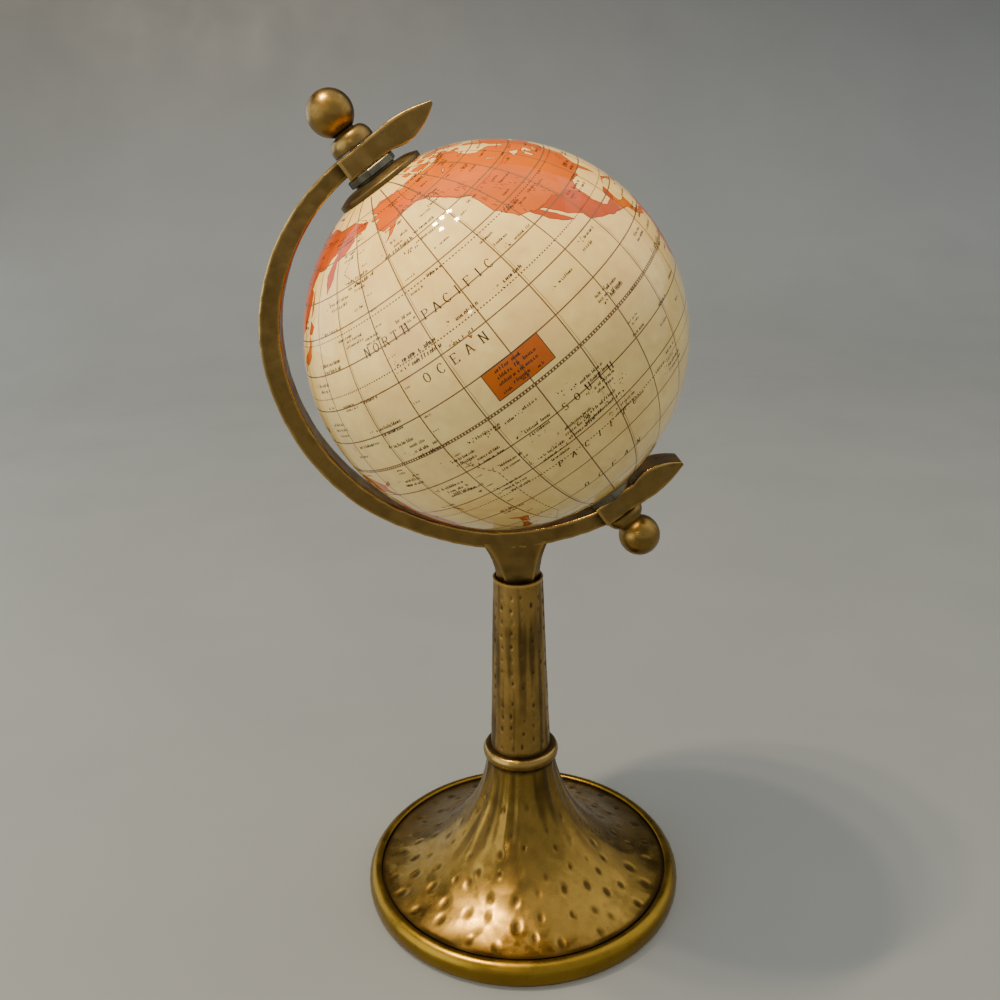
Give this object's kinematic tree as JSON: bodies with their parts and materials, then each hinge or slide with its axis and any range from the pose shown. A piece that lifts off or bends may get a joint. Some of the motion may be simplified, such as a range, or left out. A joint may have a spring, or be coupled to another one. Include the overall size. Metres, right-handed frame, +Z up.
{
  "type": "desktop globe",
  "caption": "Small desktop globe with a printed map, turning on a tilted spindle in a curved brass arm on a hammered trumpet-shaped foot.",
  "frame": {"origin": "centre of the round foot, on the surface that it stands on", "axes": "+Z up along the stem; the arm and the tilted spindle lie in the XZ plane with the north end towards -X"},
  "size_m": [0.144, 0.127, 0.2974],
  "materials": {
    "brass_hammered": "hammered antique brass with dark patina in the dents",
    "brass_cast": "cast antique brass, lightly hammered, satin",
    "brass_satin": "satin spun brass",
    "brass_polished": "turned brass, half bright",
    "brass_dull": "dull lacquered brass",
    "plated_steel": "dull nickel plate",
    "bright_steel": "bright drawn steel",
    "cast_iron": "as cast",
    "green_felt": "pressed wool felt",
    "printed_map": "printed paper under gloss lacquer",
    "pressed_board": "pressed board, matt",
    "nylon": "plain moulded"
  },
  "bodies": {
    "stand": {"foot_ring": "brass_satin", "felt_pad": "green_felt", "ballast_disc": "cast_iron", "base_bell": "brass_hammered", "collar_ring": "brass_polished", "stem_tube": "brass_hammered", "tie_rod": "bright_steel", "tie_washer": "bright_steel", "tie_nut": "bright_steel", "arm": "brass_cast", "axle_rod": "bright_steel", "north_finial_ball": "brass_cast", "south_finial_ball": "brass_cast", "north_finial_washer": "brass_cast", "south_finial_washer": "brass_cast", "north_spacer": "plated_steel", "south_spacer": "plated_steel"},
    "globe": {"north_hemisphere": "pressed_board", "south_hemisphere": "pressed_board", "equator_band": "pressed_board", "map_gores": "printed_map", "north_pole_cap": "brass_dull", "south_pole_cap": "brass_dull", "north_hub_bush": "nylon", "south_hub_bush": "nylon"}
  },
  "joints": [
    {"name": "globe_spin", "type": "hinge", "parent": "stand", "child": "globe", "pos_m": [-0.0059, 0, 0.218], "axis": [-0.5664, 0, 0.8241], "continuous": true}
  ]
}
